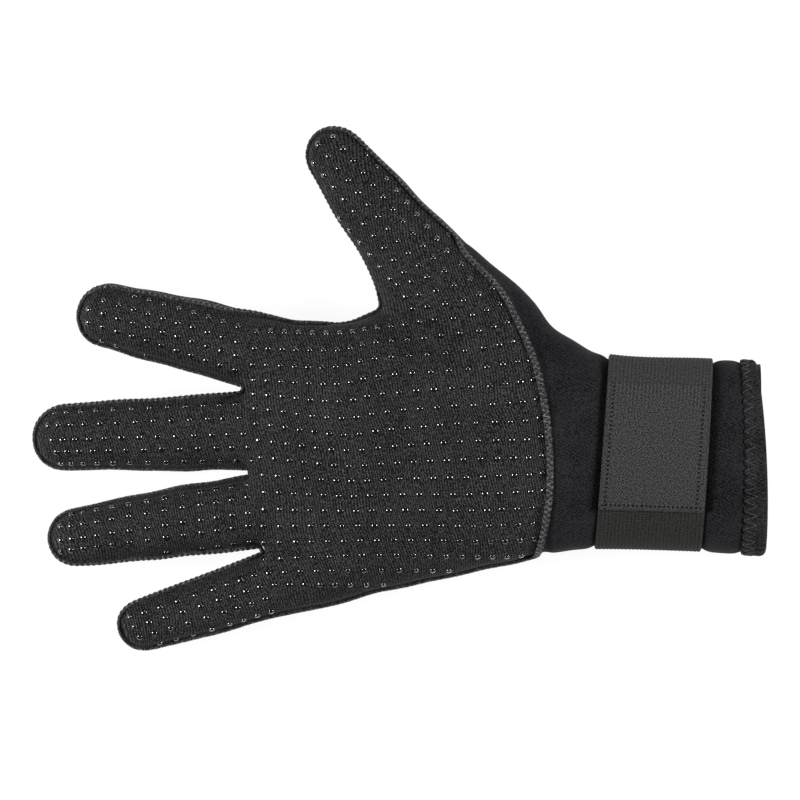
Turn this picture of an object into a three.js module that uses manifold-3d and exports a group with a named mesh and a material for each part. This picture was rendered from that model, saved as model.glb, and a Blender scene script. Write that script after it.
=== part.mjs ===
// Right-hand diving glove of 3 mm neoprene, lying palm up on its back.
// Millimetres, +Z up. +X runs along the hand from the fingertips to the cuff, +Y to the thumb.
// The origin is on the floor under the middle of the glove's outer box.
//
// The hand is first laid out in a flat frame: x = 0 at the cuff's edge, z = 0 on the plane
// of the side seams. Every point is then let down by droop(), as the fingers sink to the floor.

import * as THREE from "three";
import { mergeVertices } from "three/addons/utils/BufferGeometryUtils.js";
import Module from "manifold-3d";

const wasm = await Module();
wasm.setup();

// Fabric and fit
const wall = 3; // neoprene with nylon on both faces
const pieceGap = 0.3; // between pieces that touch

// Hand
const cuffLength = 63; // cuff's edge to the wrist's narrowest place
const palmLength = 125; // from there to the crotches of the fingers
const palmWidth = 103;
const palmDepth = 36;
const wristWidth = 69.4;
const wristDepth = 39;
const crotchLag = 10; // the little finger's crotch lies this much nearer the wrist
const thumbWeb = 7; // rounding between the thumb's base and the palm or wrist
const seamPlaneHeight = 15.5; // side seams over the floor, at the palm
const fingerDroop = 5.5; // how far the digits' tips sink below that

// Seam between the two panels
const seamWidth = 2.4;
const seamRise = 0.7; // how far its threads stand proud

// Strap, its tab and the cuff's hem
const strapWidth = 38;
const strapThickness = 1.6;
const strapFromEdge = 21; // cuff's edge to the strap
const nipFade = 3.5; // how soon the fabric springs back beside the strap and hem
const tabThickness = 2;
const hemWidth = 8;
const hemThickness = 1.2;

// Digits, from roots sunk in the palm. along and across place the root by the palm's
// length and width, splay is in degrees towards the thumb, and bend moves the tip sideways.
// thumbSeam and littleSeam lift the side seams towards the palm's face, as shares of half the depth.
const fingers = [
  { name: "index", along: 0.838, across: 0.328, splay: 15.3, bend: -2, length: 82,
    width: 26.5, tipWidth: 23, depth: 22, thumbSeam: 0.42, littleSeam: 0 },
  { name: "middle", along: 0.838, across: 0.095, splay: -1.7, bend: -0.4, length: 95.8,
    width: 26.8, tipWidth: 23.2, depth: 22.5, thumbSeam: 0.4, littleSeam: 0 },
  { name: "ring", along: 0.838, across: -0.17, splay: -8.8, bend: 0.5, length: 91,
    width: 25.2, tipWidth: 20.2, depth: 21.5, thumbSeam: 0.05, littleSeam: 0.32 },
  { name: "little", along: 0.81, across: -0.4, splay: -19.4, bend: 1.8, length: 71.8,
    width: 22.2, tipWidth: 18.2, depth: 20, thumbSeam: 0.36, littleSeam: 0 },
];
const thumb = { name: "thumb", along: 0.206, across: 0.272, splay: 50.4, bend: 0, length: 114.4,
  width: 30, tipWidth: 21.4, depth: 24, thumbSeam: 0.5, littleSeam: -0.3 };

// Half sizes along a finger: taper goes from 0, its root width, to 1, its tip width.
const fingerRows = [
  { along: 0, taper: 0 },
  { along: 0.35, taper: 0 },
  { along: 0.7, taper: 0.45 },
  { along: 1, taper: 1 },
];

// The same along the thumb, as shares of half its width and depth. It flares into the palm.
const thumbRows = [
  { along: 0, outer: 1.24, inner: 1.24, face: 1.14 },
  { along: 0.14, outer: 1.47, inner: 1.44, face: 1.42 },
  { along: 0.31, outer: 1.33, inner: 1.53, face: 1.42 },
  { along: 0.43, outer: 1.2, inner: 1.56, face: 1.33 },
  { along: 0.5, outer: 1.11, inner: 1.44, face: 1.24 },
  { along: 0.56, outer: 1.04, inner: 1.24, face: 1.16 },
  { along: 0.66, outer: 0.96, inner: 1.05, face: 1.05 },
  { along: 0.83, outer: 0.86, inner: 0.91, face: 0.93 },
  { along: 1, outer: 0.73, inner: 0.69, face: 0.8 },
];

// The palm and cuff, from the cuff's edge to the crotches. cuff and palm are shares of those
// lengths, drift moves the middle by the palm's width, flare goes from 0, the wrist's width,
// to 1, the palm's, face is a share of the depth, lift is of the strap's own depth, web is
// of the thumb's web, and slant and bow turn and round the row, as shares of the wrist's width.
const bodyRows = [
  { cuff: 0, palm: 0, drift: -0.008, flare: 0.04, face: 1, lift: 1, web: 0, slant: -0.024, bow: 0.024 },
  { cuff: 0.4, palm: 0, drift: 0.001, flare: -0.01, face: 1, lift: 1, web: 0, slant: 0.036, bow: 0 },
  { cuff: 1, palm: 0, drift: 0.0145, flare: 0.03, face: 0.97, lift: 1, web: 0.02, slant: 0.036, bow: 0 },
  { cuff: 1, palm: 0.1, drift: 0.012, flare: 0.1, face: 0.96, lift: 0.6, web: 1, slant: 0.02, bow: 0 },
  { cuff: 1, palm: 0.23, drift: 0.006, flare: 0.24, face: 0.97, lift: 0.15, web: 1, slant: 0, bow: 0 },
  { cuff: 1, palm: 0.46, drift: -0.004, flare: 0.56, face: 0.98, lift: 0, web: 1, slant: 0, bow: 0 },
  { cuff: 1, palm: 0.61, drift: -0.01, flare: 0.76, face: 0.98, lift: 0, web: 0.8, slant: 0, bow: 0 },
  { cuff: 1, palm: 0.7, drift: -0.016, flare: 0.875, face: 0.97, lift: 0, web: 0.04, slant: 0, bow: 0 },
  { cuff: 1, palm: 0.83, drift: -0.032, flare: 0.98, face: 0.87, lift: 0, web: 0, slant: 0, bow: 0 },
  { cuff: 1, palm: 0.94, drift: -0.036, flare: 1.06, face: 0.68, lift: 0, web: 0, slant: 0, bow: 0 },
  { cuff: 1, palm: 1, drift: -0.041, flare: 1.12, face: 0.46, lift: 0, web: 0, slant: 0, bow: 0 },
];

// Where the palm panel ends across the thumb's root and the heel of the hand,
// by the palm's length from the wrist and by its width.
const heelSeam = [
  { along: 0.408, across: 0.77 },
  { along: 0.348, across: 0.686 },
  { along: 0.283, across: 0.614 },
  { along: 0.237, across: 0.547 },
  { along: 0.192, across: 0.441 },
  { along: 0.155, across: 0.347 },
  { along: 0.127, across: 0.213 },
  { along: 0.11, across: 0.052 },
  { along: 0.106, across: -0.087 },
  { along: 0.118, across: -0.227 },
  { along: 0.155, across: -0.4 },
];

// Shape of the sections, and how finely they are cut
const digitPower = 2.15; // 2 is an ellipse, more is boxier
const bodyPower = 2.5;
const palmFaceShare = 0.54; // of a body section's depth, above the seam plane
const digitSides = 14;
const bodySides = 26;
const tipAngles = [32, 62]; // rings round each tip

const weld = 0.004; // points nearer than this are one

const degrees = Math.PI / 180;
const strapStack = strapThickness + pieceGap;
const hemStack = hemThickness + pieceGap;

const mix = (a, b, share) => a + (b - a) * share;

function smoothStep(from, to, value) {
  const share = Math.min(1, Math.max(0, (value - from) / (to - from)));
  return share * share * (3 - 2 * share);
}

// A column of a table at any place along it, on a curve through its rows.
function tableAt(rows, key, column, at) {
  let i = 0;
  while (i < rows.length - 2 && at > rows[i + 1][key]) i++;
  const slope = (j) => {
    const before = rows[Math.max(0, j - 1)];
    const after = rows[Math.min(rows.length - 1, j + 1)];
    return (after[column] - before[column]) / (after[key] - before[key]);
  };
  const span = rows[i + 1][key] - rows[i][key];
  const t = (at - rows[i][key]) / span;
  const rise = rows[i + 1][column] - rows[i][column];
  const [m0, m1] = [slope(i) * span, slope(i + 1) * span];
  return rows[i][column] + t * (m0 + t * (3 * rise - 2 * m0 - m1 + t * (m0 + m1 - 2 * rise)));
}

// How far a point of the flat layout sinks: the fingers beyond their roots, the thumb beyond the web.
const fingerRootX = -(cuffLength + 0.84 * palmLength);
function droop(x, y) {
  const finger = smoothStep(0, 0.45 * palmLength, fingerRootX - x);
  const thumbSide = smoothStep(0.46 * palmWidth, 0.95 * palmWidth, y);
  return fingerDroop * Math.min(1, finger + thumbSide);
}

// The floor in the flat layout, for a surface this far outside the glove's skin.
function floorAt(x, y, lift, offset) {
  return lift * strapStack - seamPlaneHeight + droop(x, y) - offset;
}

// A point at an angle round a rounded section: 0 is the thumb's side, 90 the palm's face.
function sectionPoint(angle, size, power) {
  const [c, s] = [Math.cos(angle), Math.sin(angle)];
  return {
    side: Math.sign(c) * Math.abs(c) ** (2 / power) * (c > 0 ? size.outer : size.inner),
    z: Math.sign(s) * Math.abs(s) ** (2 / power) * (s > 0 ? size.up : size.down),
  };
}

// How far the strap and the hem press the fabric in, so that they lie level with it.
function nipAt(reach) {
  const afterStrap = strapFromEdge + strapWidth;
  const rise = smoothStep(strapFromEdge - nipFade, strapFromEdge, reach);
  const fall = smoothStep(afterStrap, afterStrap + nipFade, reach);
  const hem = smoothStep(hemWidth, hemWidth + nipFade, reach);
  return strapStack * rise * (1 - fall) + hemStack * (1 - hem);
}

// The body's section at a distance from the cuff's edge.
const bodyStations = bodyRows.map((row) => ({
  ...row,
  reach: row.cuff * cuffLength + row.palm * palmLength,
}));
const bodyReach = cuffLength + palmLength;

function bodyPoint(reach, angle, offset) {
  const at = (column) => tableAt(bodyStations, "reach", column, reach);
  const flare = at("flare");
  const grown = offset - nipAt(reach);
  const skinHalf = mix(wristWidth, palmWidth, flare) / 2;
  const half = skinHalf + grown;
  const depth = mix(wristDepth, palmDepth, Math.min(1, Math.max(0, flare))) * at("face");
  const size = {
    outer: half + at("web") * thumbWeb,
    inner: half,
    up: depth * palmFaceShare + grown,
    down: depth * (1 - palmFaceShare) + grown,
  };
  const point = sectionPoint(angle, size, bodyPower);
  const share = point.side / skinHalf;
  const lag =
    crotchLag *
    smoothStep(0.6 * palmLength, palmLength, reach - cuffLength) *
    smoothStep(-0.02, 0.62, -share);
  const x = lag - reach + wristWidth * (at("slant") * share - at("bow") * share ** 2);
  const y = at("drift") * palmWidth + point.side;
  return new THREE.Vector3(x, y, Math.max(point.z, floorAt(x, y, at("lift"), offset)));
}

function bodyRings(offset, from, to) {
  const afterStrap = strapFromEdge + strapWidth;
  const edges = [hemStack, hemWidth, strapFromEdge - nipFade, strapFromEdge, afterStrap];
  const inside = [...bodyStations.map((row) => row.reach), ...edges]
    .filter((reach) => reach > from + 1 && reach < to - 1)
    .sort((a, b) => a - b);
  return [from, ...inside, to].map((reach) =>
    Array.from({ length: bodySides }, (_, i) =>
      bodyPoint(reach, (i / bodySides) * 360 * degrees, offset),
    ),
  );
}

// A digit's axis and its half sizes.
function digitRoot(digit) {
  return {
    x: -(cuffLength + digit.along * palmLength),
    y: digit.across * palmWidth,
  };
}

function digitPlace(digit, distance, side) {
  const turn = digit.splay * degrees;
  const lateral = side + digit.bend * (distance / digit.length) ** 2;
  const root = digitRoot(digit);
  return {
    x: root.x - distance * Math.cos(turn) + lateral * Math.sin(turn),
    y: root.y + distance * Math.sin(turn) + lateral * Math.cos(turn),
  };
}

function digitSize(digit, along) {
  if (digit === thumb) {
    const at = (column) => tableAt(thumbRows, "along", column, along);
    const face = (at("face") * digit.depth) / 2;
    const half = digit.width / 2;
    return { outer: at("outer") * half, inner: at("inner") * half, up: face, down: face };
  }
  const taper = tableAt(fingerRows, "along", "taper", along);
  const share = mix(1, digit.tipWidth / digit.width, taper);
  const [half, face] = [(share * digit.width) / 2, (share * digit.depth) / 2];
  return { outer: half, inner: half, up: face, down: face };
}

// Rings from a digit's root to its round tip, for a surface this far outside its skin.
function digitRings(digit, offset) {
  const straight = digit.length - digit.tipWidth / 2;
  const stations = (digit === thumb ? thumbRows : fingerRows).map((row) => row.along);
  const between = stations.flatMap((a, i) => (i && a - stations[i - 1] > 0.2
    ? [mix(stations[i - 1], a, 0.5), a] : [a]));
  const along = between.map((share) => ({ distance: share * straight, share, round: 1 }));
  const tip = tipAngles.map((angle) => ({
    distance: straight + (digit.tipWidth / 2 + offset) * Math.sin(angle * degrees),
    share: 1,
    round: Math.cos(angle * degrees),
  }));
  const rings = [...along, ...tip].map(({ distance, share, round }) => {
    const whole = digitSize(digit, share);
    const size = Object.fromEntries(
      Object.entries(whole).map(([key, value]) => [key, (value + offset) * round]),
    );
    return Array.from({ length: digitSides }, (_, i) => {
      const point = sectionPoint((i / digitSides) * 360 * degrees, size, digitPower);
      const { x, y } = digitPlace(digit, distance, point.side);
      return new THREE.Vector3(x, y, Math.max(point.z, floorAt(x, y, 0, offset)));
    });
  });
  const end = digitPlace(digit, digit.length + offset, 0);
  return [...rings, [new THREE.Vector3(end.x, end.y, 0)]];
}

// Solids from rings of points. A ring of one point closes the skin, and any other end is flat.
function solidFromRings(rings) {
  const positions = [];
  const index = [];
  const starts = rings.map((ring) => {
    const start = positions.length / 3;
    ring.forEach((p) => positions.push(p.x, p.y, p.z));
    return start;
  });
  for (let r = 0; r + 1 < rings.length; r++) {
    const [a, b] = [rings[r].length, rings[r + 1].length];
    for (let i = 0; i < a; i++) {
      const next = (i + 1) % a;
      const [p, q] = [starts[r] + i, starts[r] + next];
      const [s, t] = b > 1 ? [starts[r + 1] + i, starts[r + 1] + next] : [starts[r + 1]];
      index.push(p, q, s);
      if (b > 1) index.push(q, t, s);
    }
  }
  const caps = [[rings[0], starts[0]], [rings.at(-1), starts.at(-1)]];
  caps.forEach(([ring, start], last) => {
    for (const [a, b, c] of ladder(ring.length)) {
      index.push(start + a, start + (last ? b : c), start + (last ? c : b));
    }
  });
  return solidFromMesh(positions, index);
}

// Triangles across a ring, in rungs from its first point to the far one, so that an end that
// is bowed from side to side keeps its bow.
function ladder(count) {
  let [low, high] = [1, count - 1];
  const triangles = count > 2 ? [[0, low, high]] : [];
  while (low + 1 < high) {
    triangles.push([low, low + 1, high]);
    low++;
    if (low + 1 < high) triangles.push([low, high - 1, high--]);
  }
  return triangles;
}

// A closed loop of equal rings, such as a band round the cuff. Faces after the point named
// turned are split along their other diagonal, to lie flat on the faces of the glove's inside.
function solidFromLoop(rings, turned) {
  const count = rings[0].length;
  const positions = rings.flat().flatMap((p) => [p.x, p.y, p.z]);
  const index = [];
  rings.forEach((_, r) => {
    const after = (r + 1) % rings.length;
    for (let i = 0; i < count; i++) {
      const next = (i + 1) % count;
      const [p, q] = [r * count + i, r * count + next];
      const [s, t] = [after * count + i, after * count + next];
      if (i === turned) index.push(p, q, t, p, t, s);
      else index.push(p, q, s, q, t, s);
    }
  });
  return solidFromMesh(positions, index);
}

function solidFromMesh(positions, index) {
  const bare = new THREE.BufferGeometry();
  bare.setAttribute("position", new THREE.Float32BufferAttribute(positions, 3));
  bare.setIndex(index);
  const merged = mergeVertices(bare, 1e-4);
  const vertProperties = merged.getAttribute("position").array;
  const triVerts = new Uint32Array(merged.index.array);
  const build = () => new wasm.Manifold(new wasm.Mesh({ numProp: 3, vertProperties, triVerts }));
  const solid = build();
  if (solid.volume() > 0) return solid;
  for (let i = 0; i < triVerts.length; i += 3) {
    [triVerts[i + 1], triVerts[i + 2]] = [triVerts[i + 2], triVerts[i + 1]];
  }
  return build();
}

const join = (solids) => solids.reduce((all, one) => all.add(one));

// The hand's skin, grown by an offset. Inside the glove it also runs out of the cuff.
const cuffMargin = 4;
function handSolid(offset) {
  const cuffEnd = offset < 0 ? -cuffMargin : hemStack;
  const body = solidFromRings(bodyRings(offset, cuffEnd, bodyReach + offset));
  const digits = [thumb, ...fingers].map((digit) => solidFromRings(digitRings(digit, offset)));
  return join([body, ...digits]);
}

// The side of the hand that the palm panel covers, grown by an amount. Over each digit it is
// a wedge above the two side seams, and over the palm it stops at the seam across the heel.
const sideMargin = 3;
const faceMargin = 6;
const thumbLap = 0.64; // how far the thumb's part laps over the palm's
const wedgeRows = [0, 0.12, 0.24, 0.36, 0.5, 0.75, 1];

// A point of the palm by its own length and width, seen from above.
function palmPlace({ along, across }) {
  return new THREE.Vector2(-(cuffLength + along * palmLength), across * palmWidth);
}

// How far along the thumb the seam across the heel begins.
function thumbSeamDistance() {
  const [start, root] = [palmPlace(heelSeam[0]), digitRoot(thumb)];
  const turn = thumb.splay * degrees;
  return (root.x - start.x) * Math.cos(turn) + (start.y - root.y) * Math.sin(turn) - thumbLap;
}

function digitWedge(digit, grow) {
  const straight = digit.length - digit.tipWidth / 2;
  const firstShare = digit === thumb ? thumbSeamDistance() / straight : 0;
  const rings = [...wedgeRows, "tip"].map((row) => {
    const share = row === "tip" ? 1 : mix(firstShare, 1, row);
    const rootGrow = row === 0 ? grow : 0;
    const distance = row === "tip" ? digit.length + sideMargin : share * straight - rootGrow;
    const size = digitSize(digit, share);
    const fade = digit === thumb ? 1 : smoothStep(0.12, 0.36, share);
    const lifted = (seam, half) => (seam * fade * size.up * (half + sideMargin)) / half - grow;
    const corners = [
      [-size.inner - sideMargin, lifted(digit.littleSeam, size.inner)],
      [0, -grow],
      [size.outer + sideMargin, lifted(digit.thumbSeam, size.outer)],
      [size.outer + sideMargin, size.up + faceMargin],
      [-size.inner - sideMargin, size.up + faceMargin],
    ];
    return corners.map(([side, z]) => {
      const { x, y } = digitPlace(digit, distance, side);
      return new THREE.Vector3(x, y, z);
    });
  });
  return solidFromRings(rings);
}

// The palm's part, as an outline seen from above with straight walls.
function palmWedge(grow) {
  const heel = heelSeam.map(palmPlace);
  const grown = heel.map((point, i) => {
    const before = heel[Math.max(0, i - 1)];
    const after = heel[Math.min(heel.length - 1, i + 1)];
    const run = after.clone().sub(before).normalize();
    return new THREE.Vector2(point.x - run.y * grow, point.y + run.x * grow);
  });
  const beyond = (along, across) => palmPlace({ along, across });
  const outline = [
    ...grown,
    beyond(0.16, -0.55),
    beyond(0.8, -0.7),
    beyond(0.87, -0.62),
    beyond(0.9, 0.3),
    beyond(0.87, 0.52),
    beyond(0.76, 0.52),
    beyond(0.64, 0.56),
    beyond(0.62, 0.62),
  ];
  const shape = new THREE.Shape(outline);
  const top = palmDepth;
  const prism = new THREE.ExtrudeGeometry(shape, { depth: top + grow, bevelEnabled: false });
  prism.translate(0, 0, -grow);
  prism.deleteAttribute("normal");
  prism.deleteAttribute("uv");
  const merged = mergeVertices(prism, 1e-4);
  return solidFromMesh([...merged.getAttribute("position").array], [...merged.index.array]);
}

function palmSide(grow) {
  const wedges = [thumb, ...fingers].map((digit) => digitWedge(digit, grow));
  return join([palmWedge(grow), ...wedges]);
}

// Panels and seam
const hollow = handSolid(-wall);
const neoprene = handSolid(0).subtract(hollow);
const toSeam = seamWidth / 2 + pieceGap;
const palmPanel = neoprene.intersect(palmSide(-toSeam));
const backPanel = neoprene.subtract(palmSide(toSeam));
const seamBand = palmSide(seamWidth / 2).subtract(palmSide(-seamWidth / 2));
const palmSeam = handSolid(seamRise).subtract(hollow).intersect(seamBand);

// A band lying on the cuff from one angle to another. lay() gives its distance from the cuff's skin.
function cuffBand(fromDegrees, toDegrees, thickness, lay) {
  const step = 360 / bodySides;
  const firstWhole = Math.floor(fromDegrees / step) + 1;
  const lastWhole = Math.ceil(toDegrees / step) - 1;
  const whole = Array.from({ length: lastWhole - firstWhole + 1 }, (_, i) => (firstWhole + i) * step);
  const rings = [fromDegrees, ...whole, toDegrees].map((turn) => {
    const inner = lay(turn);
    const [near, far] = [strapFromEdge, strapFromEdge + strapWidth];
    const middle = 0.4 * cuffLength;
    return [
      [near, inner],
      [middle, inner],
      [far, inner],
      [far, inner + thickness],
      [middle, inner + thickness],
      [near, inner + thickness],
    ].map(([reach, offset]) => bodyPoint(reach, turn * degrees, offset));
  });
  return solidFromRings(rings);
}

// The elastic starts at the thumb's side, goes round under the wrist and laps over its own start.
// All are angles round the cuff, in degrees.
const strapStart = 25;
const strapClimb = 352; // where it begins to rise over its start
const strapLap = 411;
const tabStart = 411.6;
const tabEnd = 482;
const secondTurn = pieceGap + strapStack;
const strapLay = (turn) => mix(pieceGap, secondTurn, smoothStep(strapClimb, 360 + strapStart, turn));
const wristStrap = cuffBand(strapStart, strapLap, strapThickness, strapLay);
const strapTab = cuffBand(tabStart, tabEnd, tabThickness, () => secondTurn);

// The hem is folded over the cuff's edge, inside and out.
function cuffHem() {
  const [outer, inner] = [pieceGap, -wall - pieceGap];
  const section = [
    [hemWidth, outer],
    [hemWidth, outer + hemThickness * 0.7],
    [hemWidth * 0.85, outer + hemThickness],
    [hemStack, outer + hemThickness],
    [0, outer - wall * 0.25],
    [0, inner + wall * 0.25],
    [hemStack, inner - hemThickness],
    [hemWidth, inner - hemThickness],
    [hemWidth, inner],
    [hemThickness, inner],
    [hemThickness, outer],
  ];
  const rings = Array.from({ length: bodySides }, (_, i) =>
    section.map(([reach, offset]) =>
      bodyPoint(reach, (i / bodySides) * 360 * degrees, offset),
    ),
  );
  const innerFace = section.length - 3;
  return solidFromLoop(rings, innerFace);
}

// Materials, as seen
const fabric = (color, roughness) =>
  new THREE.MeshStandardMaterial({ color, roughness, metalness: 0 });
const looks = {
  grip: fabric(0x1b1b1d, 0.75),
  neoprene: fabric(0x19191c, 0.85),
  thread: fabric(0x303032, 0.8),
  elastic: fabric(0x2c2c2b, 0.9),
  hook: fabric(0x303030, 0.9),
  binding: fabric(0x1c1c1e, 0.85),
};

// Triangles without the slivers that a cut leaves: those that lost a corner when near points
// were joined, and pairs that lie back to back.
function withoutSlivers(index) {
  const faces = new Map();
  for (let i = 0; i < index.length; i += 3) {
    const face = [index[i], index[i + 1], index[i + 2]];
    if (new Set(face).size < 3) continue;
    const key = [...face].sort((a, b) => a - b).join();
    if (faces.has(key)) faces.delete(key);
    else faces.set(key, face);
  }
  return [...faces.values()].flat();
}

// A mesh of a flat-layout solid, let down to the floor.
function pieceMesh(name, solid, material) {
  const { vertProperties, triVerts } = solid.getMesh();
  const bare = new THREE.BufferGeometry();
  bare.setAttribute("position", new THREE.BufferAttribute(vertProperties, 3));
  bare.setIndex([...triVerts]);
  const geometry = mergeVertices(bare, weld);
  geometry.setIndex(withoutSlivers(geometry.index.array));
  const points = geometry.getAttribute("position");
  for (let v = 0; v < points.count; v++) {
    const [x, y] = [points.getX(v), points.getY(v)];
    points.setZ(v, points.getZ(v) + seamPlaneHeight - droop(x, y));
  }
  geometry.computeVertexNormals();
  const mesh = new THREE.Mesh(geometry, material);
  mesh.name = name;
  return mesh;
}

const glove = new THREE.Group();
glove.add(
  pieceMesh("palm_panel", palmPanel, looks.grip),
  pieceMesh("back_panel", backPanel, looks.neoprene),
  pieceMesh("palm_seam", palmSeam, looks.thread),
  pieceMesh("wrist_strap", wristStrap, looks.elastic),
  pieceMesh("strap_tab", strapTab, looks.hook),
  pieceMesh("cuff_hem", cuffHem(), looks.binding),
);

// Stand the glove on the floor, over the origin.
const bounds = new THREE.Box3().setFromObject(glove);
const middle = bounds.getCenter(new THREE.Vector3());
glove.position.set(-middle.x, -middle.y, -bounds.min.z);

export default glove;
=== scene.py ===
import bpy
import numpy as np
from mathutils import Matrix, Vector
from mathutils.bvhtree import BVHTree


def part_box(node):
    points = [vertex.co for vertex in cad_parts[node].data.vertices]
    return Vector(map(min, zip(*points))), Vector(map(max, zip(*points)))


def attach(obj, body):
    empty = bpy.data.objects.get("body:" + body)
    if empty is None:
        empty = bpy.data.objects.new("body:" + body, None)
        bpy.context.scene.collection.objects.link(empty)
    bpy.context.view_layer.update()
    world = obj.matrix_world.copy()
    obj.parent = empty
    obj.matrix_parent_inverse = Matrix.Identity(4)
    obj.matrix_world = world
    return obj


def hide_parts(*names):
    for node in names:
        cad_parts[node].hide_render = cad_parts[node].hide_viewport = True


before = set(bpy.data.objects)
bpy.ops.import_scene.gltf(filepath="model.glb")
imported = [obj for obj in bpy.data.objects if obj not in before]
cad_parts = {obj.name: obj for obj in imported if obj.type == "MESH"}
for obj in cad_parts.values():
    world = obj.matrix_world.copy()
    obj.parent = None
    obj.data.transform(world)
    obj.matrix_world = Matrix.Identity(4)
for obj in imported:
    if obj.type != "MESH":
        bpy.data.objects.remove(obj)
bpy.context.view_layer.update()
print("frame loaded")

# A right-hand neoprene diving glove, palm up. Shapes are worked out in millimetres in a flat
# layout, x = 0 at the cuff's edge and z = 0 on the side seams, and moved to the frame at the end.

hand = {
    "wall": 3.0, "cuffLength": 63.0, "palmLength": 125.0, "palmWidth": 103.0, "palmDepth": 36.0,
    "wristWidth": 69.4, "wristDepth": 39.0, "crotchLag": 10.0, "thumbWeb": 7.0,
    "seamPlane": 15.5, "fingerDroop": 5.5, "digitPower": 2.15, "bodyPower": 2.5, "faceShare": 0.54,
    "voxel": 1.25, "plump": 0.2, "ripple": 0.22, "seamGap": 0.3,
}

digits = {
    "index": {"along": 0.838, "across": 0.328, "splay": 15.3, "bend": -2.0, "length": 82.0,
              "width": 26.5, "tip": 23.0, "depth": 22.0, "thumbSeam": 0.58, "littleSeam": 0.0},
    "middle": {"along": 0.838, "across": 0.095, "splay": -1.7, "bend": -0.4, "length": 95.8,
               "width": 26.8, "tip": 23.2, "depth": 22.5, "thumbSeam": 0.4, "littleSeam": 0.0},
    "ring": {"along": 0.838, "across": -0.17, "splay": -8.8, "bend": 0.5, "length": 91.0,
             "width": 25.2, "tip": 20.2, "depth": 21.5, "thumbSeam": 0.05, "littleSeam": 0.32},
    "little": {"along": 0.81, "across": -0.4, "splay": -19.4, "bend": 1.8, "length": 71.8,
               "width": 22.2, "tip": 18.2, "depth": 20.0, "thumbSeam": 0.36, "littleSeam": 0.0},
    "thumb": {"along": 0.206, "across": 0.272, "splay": 50.4, "bend": 0.0, "length": 114.4,
              "width": 30.0, "tip": 21.4, "depth": 24.0, "thumbSeam": 0.5, "littleSeam": -0.3},
}

# Half sizes of the thumb along it, as shares: its outer side, inner side and face
thumbForm = {
    "along": [0, 0.14, 0.31, 0.43, 0.5, 0.56, 0.66, 0.83, 1],
    "outer": [1.24, 1.47, 1.33, 1.2, 1.11, 1.04, 0.96, 0.86, 0.73],
    "inner": [1.24, 1.44, 1.53, 1.56, 1.44, 1.24, 1.05, 0.91, 0.69],
    "face": [1.14, 1.42, 1.42, 1.33, 1.24, 1.16, 1.05, 0.93, 0.8],
}
fingerForm = {"along": [0, 0.35, 0.7, 1], "taper": [0, 0, 0.45, 1]}

# The palm and cuff from the cuff's edge to the crotches, as shares of their lengths and widths
bodyForm = {
    "cuff": [0, 0.4, 1, 1, 1, 1, 1, 1, 1, 1, 1],
    "palm": [0, 0, 0, 0.1, 0.23, 0.46, 0.61, 0.7, 0.83, 0.94, 1],
    "drift": [-0.008, 0.001, 0.0145, 0.012, 0.006, -0.004, -0.01, -0.016, -0.032, -0.036, -0.041],
    "flare": [0.04, -0.01, 0.03, 0.1, 0.24, 0.56, 0.76, 0.875, 0.98, 1.06, 1.12],
    "face": [1, 1, 0.97, 0.96, 0.97, 0.98, 0.98, 0.97, 0.87, 0.68, 0.46],
    "lift": [1, 1, 1, 0.6, 0.15, 0, 0, 0, 0, 0, 0],
    "web": [0, 0, 0.02, 1, 1, 1, 0.8, 0.04, 0, 0, 0],
    "slant": [-0.024, 0.036, 0.036, 0.02, 0, 0, 0, 0, 0, 0, 0],
    "bow": [0.024, 0, 0, 0, 0, 0, 0, 0, 0, 0, 0],
}

# The seam across the heel of the hand, by the palm's length from the wrist and its width
heelSeam = {
    "along": [0.408, 0.348, 0.284, 0.242, 0.201, 0.166, 0.138, 0.121, 0.117, 0.129, 0.165],
    "across": [0.77, 0.686, 0.614, 0.547, 0.441, 0.347, 0.213, 0.052, -0.087, -0.227, -0.4],
}

strap = {"width": 38.0, "thickness": 1.6, "fromEdge": 21.0, "gap": 0.3, "start": 25.0, "climb": 352.0,
         "lap": 411.0, "ribs": 28, "ribRise": 0.15}
hem = {"width": 8.0, "thickness": 1.2, "stitches": 50, "pucker": 0.3, "scallop": 0.45,
       "row": 5.7, "rowHalf": 2.1, "thread": 0.16}
nipFade = 1.8  # how soon the fabric springs back beside the strap and hem

strapStack = strap["thickness"] + strap["gap"]
hemStack = hem["thickness"] + strap["gap"]


def mix(a, b, share):
    return a + (b - a) * share


def smoothStep(low, high, value):
    t = np.clip((value - low) / (high - low), 0, 1)
    return t * t * (3 - 2 * t)


def unit(vectors):
    return vectors / np.linalg.norm(vectors, axis=-1, keepdims=True)


# Distances along a line of points, from its first
def runAlong(line):
    return np.concatenate([[0], np.cumsum(np.linalg.norm(np.diff(line, axis=0), axis=1))])


# A table's column at any place: cubic pieces through its rows, each row's slope being that
# of the line between its neighbours
def tableAt(xs, ys, at):
    xs, ys = np.asarray(xs, float), np.asarray(ys, float)
    n = len(xs)
    before, after = np.maximum(np.arange(n) - 1, 0), np.minimum(np.arange(n) + 1, n - 1)
    slope = (ys[after] - ys[before]) / (xs[after] - xs[before])
    i = np.clip(np.searchsorted(xs, at, side="left") - 1, 0, n - 2)
    span = xs[i + 1] - xs[i]
    t = (at - xs[i]) / span
    rise = ys[i + 1] - ys[i]
    m0, m1 = slope[i] * span, slope[i + 1] * span
    return ys[i] + t * (m0 + t * (3 * rise - 2 * m0 - m1 + t * (m0 + m1 - 2 * rise)))


# The digits sink to the floor: a smooth step past the fingers' roots and past the thumb's web
def droopAt(x, y):
    rootX = -(hand["cuffLength"] + 0.84 * hand["palmLength"])
    finger = smoothStep(0, 0.45 * hand["palmLength"], rootX - x)
    thumbSide = smoothStep(0.46 * hand["palmWidth"], 0.95 * hand["palmWidth"], y)
    return hand["fingerDroop"] * np.minimum(1, finger + thumbSide)


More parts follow.
